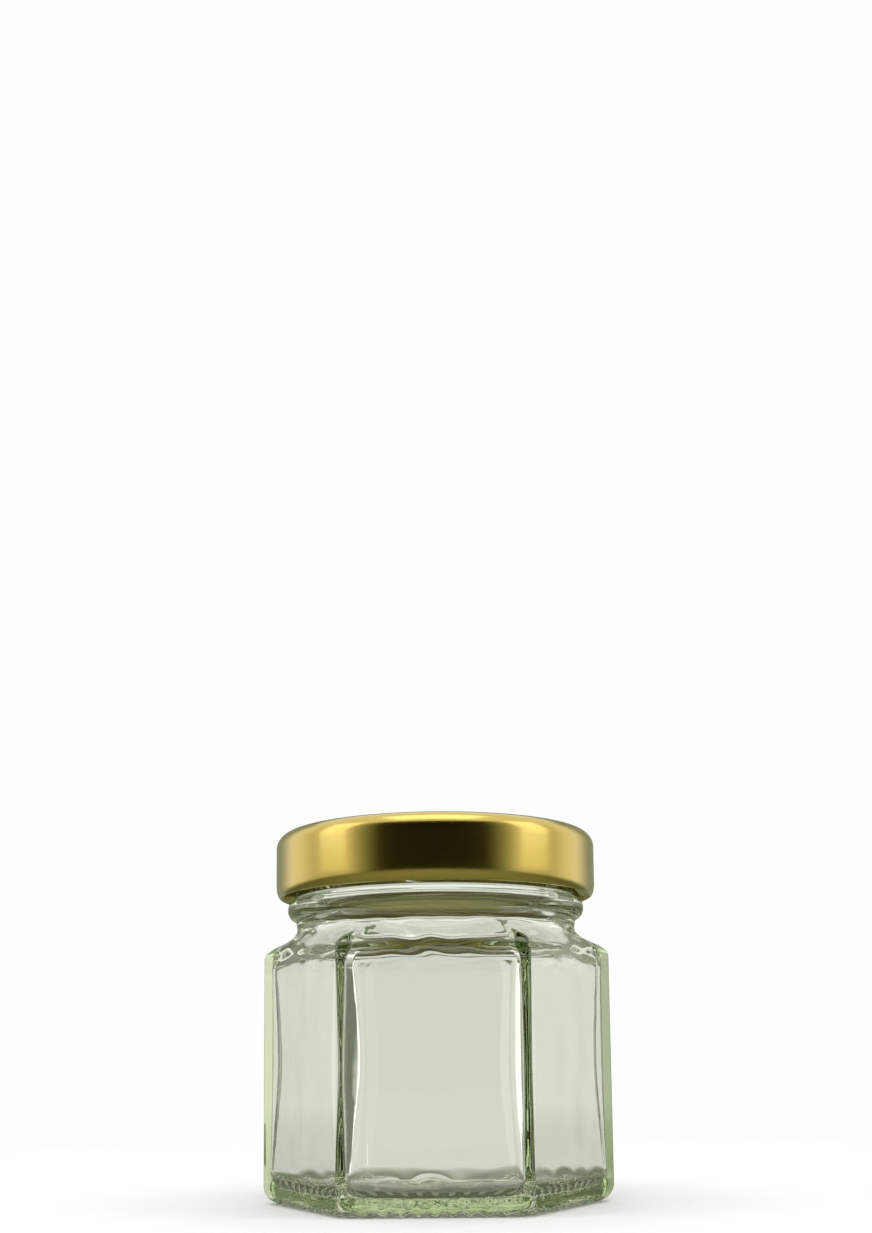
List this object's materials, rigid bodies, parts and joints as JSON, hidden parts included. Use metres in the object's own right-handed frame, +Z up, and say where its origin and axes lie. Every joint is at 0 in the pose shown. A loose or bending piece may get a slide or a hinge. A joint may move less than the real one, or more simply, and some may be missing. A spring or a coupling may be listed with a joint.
{
  "type": "hexagonal glass jar with twist-off lid",
  "caption": "Small empty hexagonal clear glass jar with rounded edges, a beaded neck and a gold twist-off metal lid, for honey or preserves.",
  "frame": {"origin": "centre of the base, on the surface the jar stands on", "axes": "+Z up along the jar's axis, a flat side faces -Y, two of the six corners lie on the X axis"},
  "size_m": [0.0496, 0.0458, 0.0523],
  "materials": {
    "glass": "clear moulded flint glass with a faint grey-green tint, smooth and glossy, stippled round the bearing ring",
    "gold_lacquer": "tinplate under a transparent gold lacquer, satin to glossy, with fine random scratches",
    "plastisol": "off-white soft plastisol sealing compound, matte"
  },
  "bodies": {
    "root": {"jar": "glass", "lid": "gold_lacquer", "seal": "plastisol"}
  },
  "joints": []
}
